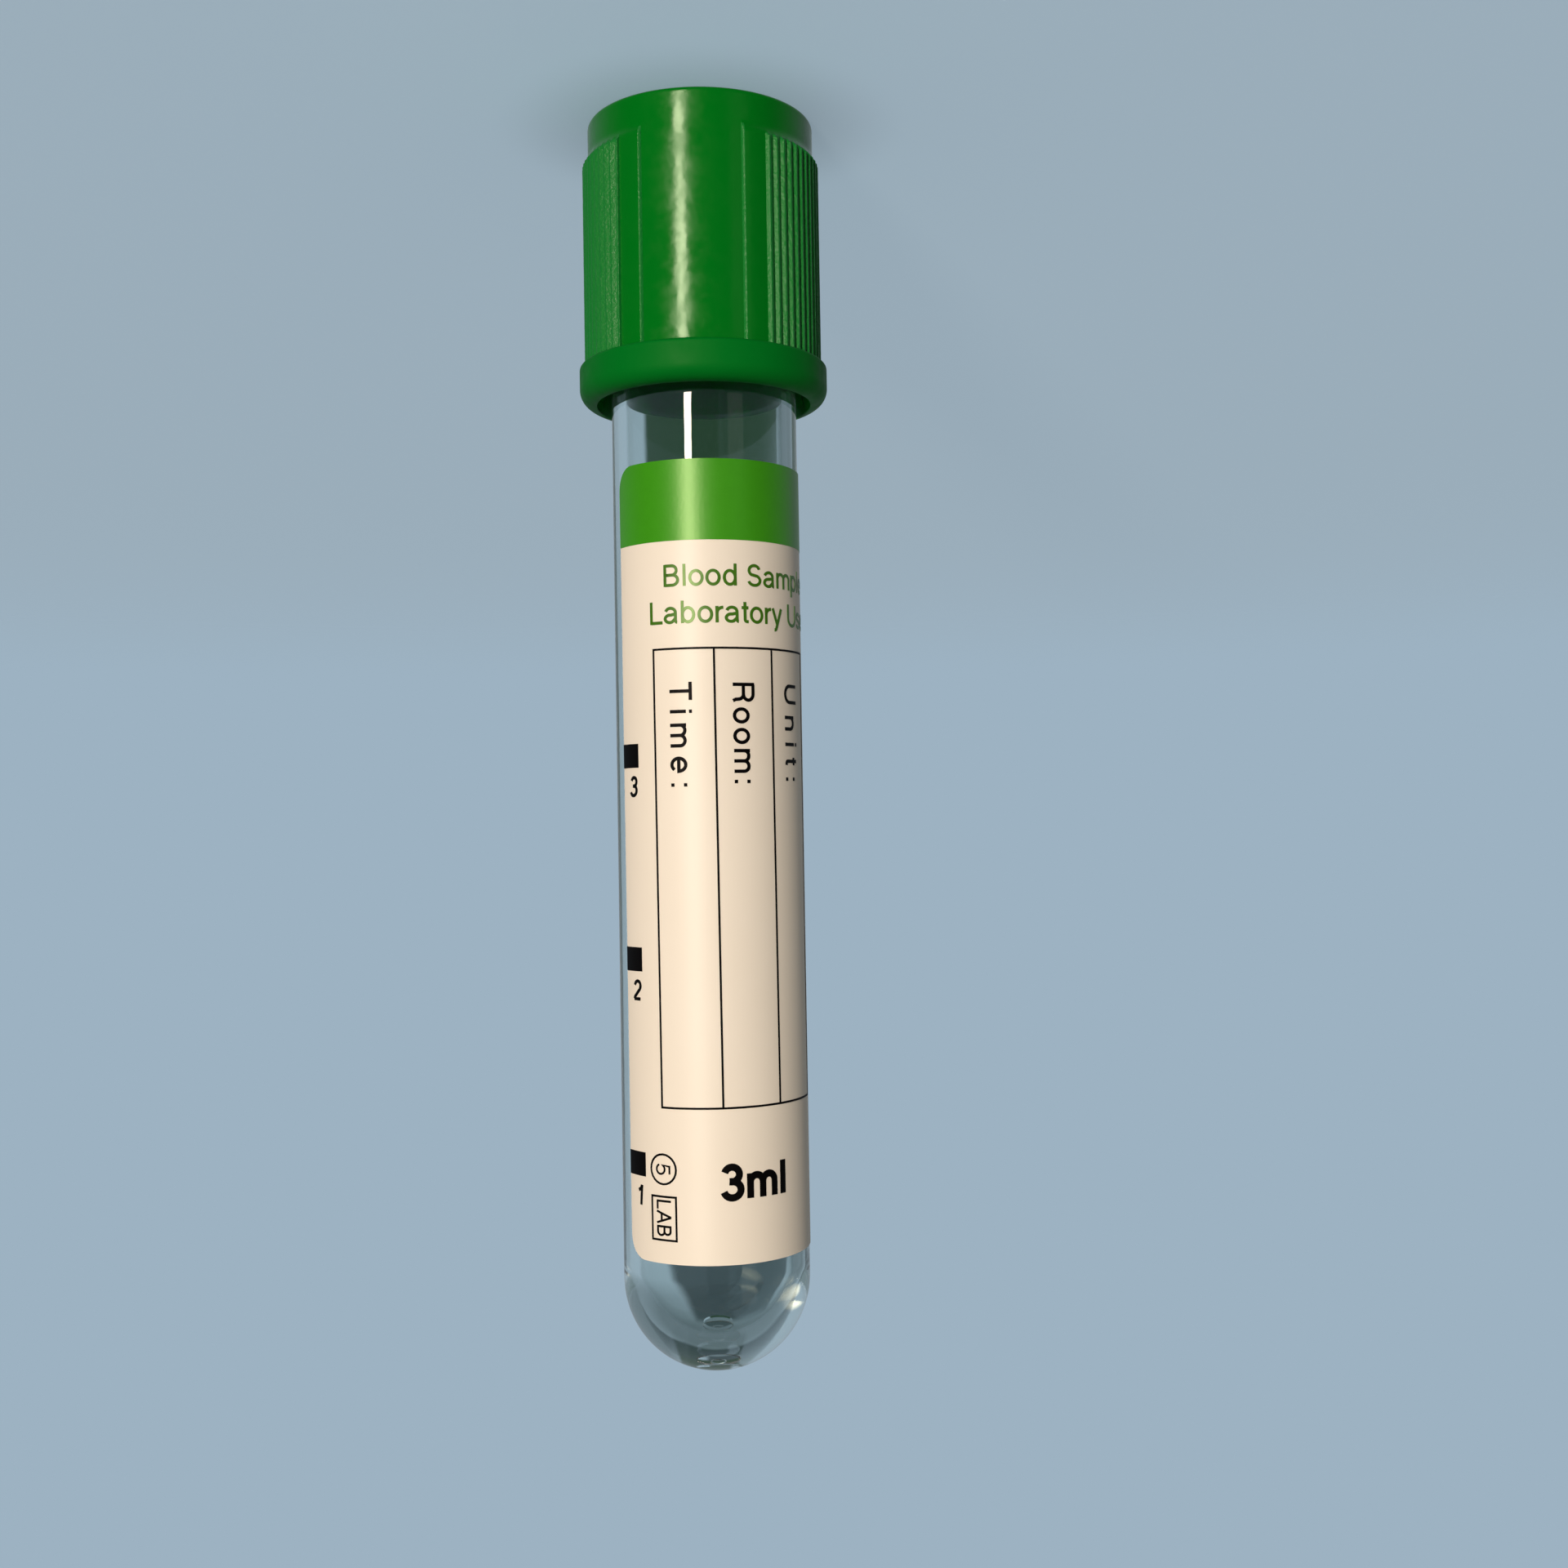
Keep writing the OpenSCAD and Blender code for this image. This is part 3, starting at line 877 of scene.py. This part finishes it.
def panel_radius(angle, station):
    """The grip panel's outer radius at an angle from the panel's edge, or 0 beside it"""
    if not BEAD_TO - BEAD_SHOULDER < station < PANEL_TO or angle > PANEL_SPAN:
        return 0
    from_edge = min(1, min(angle, PANEL_SPAN - angle) / EDGE_SPAN)
    edge_rise = 1 - (1 - from_edge) ** 2
    plate = CAP_R + (PANEL_R - CAP_R) * min(edge_rise, (PANEL_TO - station) / PANEL_SLOPE)
    turn = (angle - STRIP_SPAN) / RIB_PITCH
    if not 0 < turn < RIBS - LAST_GAP + ROUNDING:
        return plate
    return max(plate, min(rib_radius(turn, station), PANEL_R + RIBS_TO - station))


def cap_mesh():
    """Rings of points round the cap, each joined to the next, and the last to the first, and each
    face's finish: blasted on the bead, eroded on the ribs and the panels' edges, else polished"""
    rows = cap_rows()
    half = cap_columns()
    points = []
    for station, radius, outside in rows:
        for side in (0, 180):
            for angle in half:
                panel = panel_radius(angle, station) if outside else 0
                points.append(
                    place(station, max(radius, panel), CAP_TURN + RECESS_SPAN / 2 + side + angle)
                )
    columns = 2 * len(half)
    ribs_from = STRIP_SPAN - ROUNDING
    ribs_to = PANEL_SPAN - STRIP_SPAN + ROUNDING
    faces = []
    finishes = []
    for row in range(len(rows)):
        a, b = row * columns, (row + 1) % len(rows) * columns
        station, _, outside = rows[row]
        on_bead = outside and station <= BEAD_TO + BEAD_FILLET / 3
        for i in range(columns):
            j = (i + 1) % columns
            faces.append((a + i, b + i, b + j, a + j))
            angle = half[i % len(half)]
            on_rib = ribs_from < angle <= ribs_to and station <= RIBS_TO
            on_edge = min(angle, PANEL_SPAN - angle) < EDGE_SPAN and angle < PANEL_SPAN
            eroded = outside and station < PANEL_TO and (on_rib or on_edge)
            finishes.append(BLASTED if on_bead else ERODED if eroded else POLISHED)
    return points, faces, finishes


def green_polyethylene(name, colour, roughness, gloss, skin, peel, grain):
    """Moulded polyethylene, with the finish that its part of the mould gives: its colour, how rough
    it is, how much it shines, how much of a brighter skin lies over it, and the depth in mm of the
    orange peel and of the mould's own texture"""
    material, shader = new_material(name)
    where = add_node(material, "ShaderNodeTexCoord")
    flow = add_node(
        material, "ShaderNodeTexNoise",
        {"Scale": per_metre(1.1), "Detail": 2, "Roughness": 0.6}, {"Vector": (where, "Object")},
    )
    patches = add_node(
        material, "ShaderNodeMapRange",
        {
            "From Min": 0.35, "From Max": 0.65,
            "To Min": roughness - 0.04, "To Max": roughness + 0.06,
        },
        {"Value": (flow, "Fac")},
    )
    waves = add_node(
        material, "ShaderNodeTexNoise",
        {"Scale": per_metre(0.9), "Detail": 1.5}, {"Vector": (where, "Object")},
    )
    peel_bump = add_node(
        material, "ShaderNodeBump",
        {"Strength": 1, "Distance": peel * MM}, {"Height": (waves, "Fac")},
    )
    grit = add_node(
        material, "ShaderNodeTexNoise",
        {"Scale": per_metre(0.17), "Detail": 3}, {"Vector": (where, "Object")},
    )
    bump = add_node(
        material, "ShaderNodeBump", {"Strength": 1, "Distance": grain * MM},
        {"Height": (grit, "Fac"), "Normal": (peel_bump, "Normal")},
    )
    links = material.node_tree.links
    links.new(patches.outputs["Result"], shader.inputs["Roughness"])
    links.new(bump.outputs["Normal"], shader.inputs["Normal"])
    links.new(bump.outputs["Normal"], shader.inputs["Coat Normal"])
    shader.inputs["Base Color"].default_value = linear(colour)
    shader.inputs["Specular IOR Level"].default_value = gloss
    shader.inputs["Specular Tint"].default_value = linear("#e6fadc")
    shader.inputs["Coat Weight"].default_value = skin
    shader.inputs["Coat Roughness"].default_value = 0.24
    shader.inputs["IOR"].default_value = 1.5
    return material


cap_points, cap_faces, cap_finishes = cap_mesh()
polished = green_polyethylene(
    "polyethylene_polished", "#006e18", roughness=0.19, gloss=0.36, skin=0, peel=0.016, grain=0.001,
)
spark_eroded = green_polyethylene(
    "polyethylene_spark_eroded", "#04772a",
    roughness=0.58, gloss=0.3, skin=0.22, peel=0.01, grain=0.055,
)
blasted = green_polyethylene(
    "polyethylene_blasted", "#006e20", roughness=0.48, gloss=0.07, skin=0, peel=0.01, grain=0.004,
)
cap = add_piece(
    "green_cap", cap_points, cap_faces, polished, "cap", "cap", "green_polyethylene", sharp=25,
)
cap.data.materials.append(spark_eroded)
cap.data.materials.append(blasted)
cap.data.polygons.foreach_set("material_index", cap_finishes)

# ---------------------------------------------------------------------------------------------
# Bench, lights and camera
# A plain pale bench that fades into a plain background, a long strip light to the left of the
# label, a weak broad one to its right and one behind, and a camera level with the label, held
# with the cap upwards.
# ---------------------------------------------------------------------------------------------
scene = bpy.context.scene
scene.view_settings.view_transform = "Standard"
PALE_BLUE = "#9db2c2"
BENCH_REACH = 0.5
BENCH_GLOW = 0.73
PAINTED_FOOT_SHADOW_GLOW = 0.55


def pale_bench():
    """Matt pale laminate, fading out round the tube until only the background is left. The camera
    sees it brighter than its light makes it, so that it meets the background, and a soft shadow is
    painted close round the cap's foot by dimming that glow there."""
    material, shader = new_material("bench_laminate")
    shader.inputs["Base Color"].default_value = linear(PALE_BLUE)
    shader.inputs["Roughness"].default_value = 0.9
    shader.inputs["Emission Color"].default_value = linear(PALE_BLUE)
    where = add_node(material, "ShaderNodeTexCoord")
    reach = add_node(
        material, "ShaderNodeVectorMath", {}, {0: (where, "Object")}, operation="LENGTH",
    )
    # painted shadow: the camera's glow on the bench is dimmer close round the cap's foot
    glow_with_painted_foot_shadow = add_node(
        material, "ShaderNodeMapRange",
        {"From Min": 0.006, "From Max": 0.014, "To Min": PAINTED_FOOT_SHADOW_GLOW, "To Max": BENCH_GLOW},
        {"Value": (reach, "Value")}, interpolation_type="SMOOTHSTEP",
    )
    ray = add_node(material, "ShaderNodeLightPath")
    glow = add_node(
        material, "ShaderNodeMath", {}, {0: (ray, "Is Camera Ray"), 1: (glow_with_painted_foot_shadow, "Result")},
        operation="MULTIPLY",
    )
    material.node_tree.links.new(glow.outputs["Value"], shader.inputs["Emission Strength"])
    fade = add_node(
        material, "ShaderNodeMapRange", {"From Min": 0.12, "From Max": 0.45},
        {"Value": (reach, "Value")}, interpolation_type="SMOOTHSTEP",
    )
    clear = add_node(material, "ShaderNodeBsdfTransparent")
    faded = add_node(
        material, "ShaderNodeMixShader", {},
        {"Fac": (fade, "Result"), 1: (shader, "BSDF"), 2: (clear, "BSDF")},
    )
    output = material.node_tree.nodes["Material Output"]
    material.node_tree.links.new(faded.outputs["Shader"], output.inputs["Surface"])
    return material


bench_mesh = bpy.data.meshes.new("bench")
bench_corners = [
    (x * BENCH_REACH, y * BENCH_REACH, 0) for x, y in ((-1, -1), (1, -1), (1, 1), (-1, 1))
]
bench_mesh.from_pydata(bench_corners, [], [(0, 1, 2, 3)])
bench_mesh.materials.append(pale_bench())
bench = bpy.data.objects.new("bench", bench_mesh)
bench.visible_glossy = False
bench.visible_transmission = False
bench.visible_shadow = False
bpy.context.collection.objects.link(bench)


def add_light(name, width, length, angle, station, distance, power, colour, mirrored=True):
    """A rectangular lamp that faces the tube, with its length along the axis, at an angle round the
    tube and level with a station. It is never seen through the tube, and mirrored says whether it
    shows in reflections."""
    lamp = bpy.data.lights.new(name, "AREA")
    lamp.shape = "RECTANGLE"
    lamp.size = width
    lamp.size_y = length
    lamp.energy = power
    lamp.color = linear(colour)[:3]
    light = bpy.data.objects.new(name, lamp)
    light.location = place(station, distance / MM, angle)
    outwards = light.location - place(station, 0, 0)
    light.rotation_euler = outwards.to_track_quat("Z", "Y").to_euler()
    light.visible_transmission = False
    light.visible_glossy = mirrored
    bpy.context.collection.objects.link(light)


add_light(
    "strip_light", width=0.14, length=0.67, angle=-18, station=190, distance=0.9, power=8.7,
    colour="#fff1df",
)
add_light(
    "far_light", width=0.42, length=1.2, angle=41.6, station=40, distance=1.2, power=0.5,
    colour="#dfe6dc",
)
add_light(
    "back_light", width=0.8, length=0.8, angle=180, station=30, distance=1.2, power=3,
    colour="#f0efea", mirrored=False,
)


# as parts of a direction whose length is 1: how far the painted shadow band's middle lies to the
# label's right, and where the painted glint is once heights are stretched, which makes it wider than
# high
SHADOW_BAND_ASIDE = 0.06
GLINT_STRETCH = (1, 1, 4)
GLINT_WAY = (0.78, -0.48, -1.66)
PAINTED_GLINT_GLOW = (2.2, 2.1, 1.6, 1)


def painted_shade_and_glint_through_tube(sky, where, way):
    """Painted shade and a painted glint, for what shows through the clear tube: a dark band straight
    behind the label, a painted shadow that stands in for the tube's own shade on a bench. It is green
    towards the cap, as painted green light from it, narrower towards the round end, and half open on
    the label's side. Beyond it is a paler painted shade, which darkens to the label's right and above
    the round end, with one bright painted glint where a lamp would shine in."""
    aside = add_node(sky, "ShaderNodeMath", {1: SHADOW_BAND_ASIDE}, {0: (way, "X")}, operation="ADD")
    off_middle = add_node(sky, "ShaderNodeMath", {}, {0: (aside, "Value")}, operation="ABSOLUTE")
    narrowing = add_node(
        sky, "ShaderNodeMapRange", {"From Min": 0.1, "From Max": 0.4, "To Max": 0.11},
        {"Value": (way, "Z")}, interpolation_type="SMOOTHSTEP",
    )
    off_band = add_node(
        sky, "ShaderNodeMath", {}, {0: (off_middle, "Value"), 1: (narrowing, "Result")},
        operation="ADD",
    )
    edges = [
        add_node(
            sky, "ShaderNodeMapRange", {"From Min": start, "From Max": end, "To Max": openness},
            {"Value": (source, output)}, interpolation_type="SMOOTHSTEP",
        )
        for source, output, start, end, openness in (
            (off_band, "Value", 0.285, 0.335, 1),
            (way, "Z", 0.62, 0.72, 1),
            (way, "Y", 0.2, -0.1, 0.45),
        )
    ]
    beside = add_node(
        sky, "ShaderNodeMath", {}, {0: (edges[0], "Result"), 1: (edges[1], "Result")},
        operation="MAXIMUM",
    )
    open_part = add_node(
        sky, "ShaderNodeMath", {}, {0: (beside, "Value"), 1: (edges[2], "Result")},
        operation="MAXIMUM",
    )
    upwards = add_node(
        sky, "ShaderNodeMapRange", {"From Min": -0.1, "From Max": 0.2}, {"Value": (way, "Z")},
    )
    # painted shadow: dark, and greener towards the cap as painted green light from it
    dark_shade = add_node(
        sky, "ShaderNodeMix", {"A": linear("#1c3a1e"), "B": linear("#3e4d52")},
        {"Factor": (upwards, "Result")}, data_type="RGBA",
    )
    sideways = add_node(
        sky, "ShaderNodeMapRange", {"From Min": -0.2, "From Max": -0.5}, {"Value": (way, "X")},
    )
    high = add_node(
        sky, "ShaderNodeMapRange", {"From Min": 0.3, "From Max": 0.75}, {"Value": (way, "Z")},
    )
    far_off = add_node(
        sky, "ShaderNodeMath", {}, {0: (sideways, "Result"), 1: (high, "Result")},
        operation="MAXIMUM",
    )
    # painted shade beside the band, darker to the label's right and above the round end
    open_shade = add_node(
        sky, "ShaderNodeMix", {"A": linear("#9ab0bd"), "B": linear("#66787f")},
        {"Factor": (far_off, "Value")}, data_type="RGBA",
    )
    shaded = add_node(
        sky, "ShaderNodeMix", {},
        {
            "Factor": (open_part, "Value"),
            "A": (dark_shade, "Result"), "B": (open_shade, "Result"),
        },
        data_type="RGBA",
    )
    # painted glint: a bright patch in the few directions where a lamp's light would come through the
    # round end
    stretched = add_node(
        sky, "ShaderNodeVectorMath", {1: GLINT_STRETCH}, {0: (where, "Generated")},
        operation="MULTIPLY",
    )
    off_glint = add_node(
        sky, "ShaderNodeVectorMath", {1: GLINT_WAY}, {0: (stretched, "Vector")},
        operation="DISTANCE",
    )
    in_painted_glint = add_node(
        sky, "ShaderNodeMapRange",
        {"From Min": 0.2, "From Max": 0.55, "To Min": 1, "To Max": 0},
        {"Value": (off_glint, "Value")},
    )
    seen = add_node(
        sky, "ShaderNodeMix", {"B": PAINTED_GLINT_GLOW},
        {"Factor": (in_painted_glint, "Result"), "A": (shaded, "Result")}, data_type="RGBA",
    )
    return add_node(sky, "ShaderNodeBackground", {}, {"Color": (seen, "Result")})


def plain_background():
    """A soft even sky for the light, dim in reflections, which the camera sees as a pale blue, and
    which carries painted shade and a painted glint where it is seen through the clear tube"""
    sky = bpy.data.worlds.new("sky")
    sky.use_nodes = True
    shown = sky.node_tree.nodes["Background"]
    shown.inputs["Color"].default_value = linear(PALE_BLUE)
    where = add_node(sky, "ShaderNodeTexCoord")
    way = add_node(sky, "ShaderNodeSeparateXYZ", {}, {"Vector": (where, "Generated")})
    ahead = add_node(
        sky, "ShaderNodeMapRange",
        {"From Min": -0.3, "From Max": 0.6, "To Min": 0.03, "To Max": 0.5}, {"Value": (way, "Y")},
        interpolation_type="SMOOTHSTEP",
    )
    mirrored = add_node(
        sky, "ShaderNodeBackground", {"Color": linear("#c4d2dc")}, {"Strength": (ahead, "Result")},
    )
    surface = add_node(sky, "ShaderNodeBackground", {"Color": linear("#f3e8d8"), "Strength": 0.18})
    ray = add_node(sky, "ShaderNodeLightPath")
    for kind, background in (
        ("Is Glossy Ray", mirrored),
        ("Is Transmission Ray", painted_shade_and_glint_through_tube(sky, where, way)),
        ("Is Camera Ray", shown),
    ):
        surface = add_node(
            sky, "ShaderNodeMixShader", {},
            {"Fac": (ray, kind), 1: (surface, 0), 2: (background, 0)},
        )
    output = sky.node_tree.nodes["World Output"]
    sky.node_tree.links.new(surface.outputs["Shader"], output.inputs["Surface"])
    return sky


scene.world = plain_background()
# light runs round inside the clear wall, and the tube's sides turn black where it is cut short
scene.cycles.max_bounces = 24
scene.cycles.glossy_bounces = 16

CAMERA_STATION = 35.2
CAMERA_DISTANCE = 115.17
CAMERA_ANGLE = 2.45
CAMERA_TURNS = (1.178, 0.068, -0.931)

lens = bpy.data.cameras.new("camera")
lens.sensor_width = 36
lens.lens = 40.6
lens.clip_start = 0.001
camera = bpy.data.objects.new("camera", lens)
stand = Matrix.Translation(place(CAMERA_STATION, CAMERA_DISTANCE, CAMERA_ANGLE))
along_tube = Matrix((RIGHT, AXIS, FRONT)).transposed()
held = Euler([math.radians(turn) for turn in CAMERA_TURNS]).to_matrix()
camera.matrix_world = stand @ (along_tube @ held).to_4x4()
bpy.context.collection.objects.link(camera)
scene.camera = camera
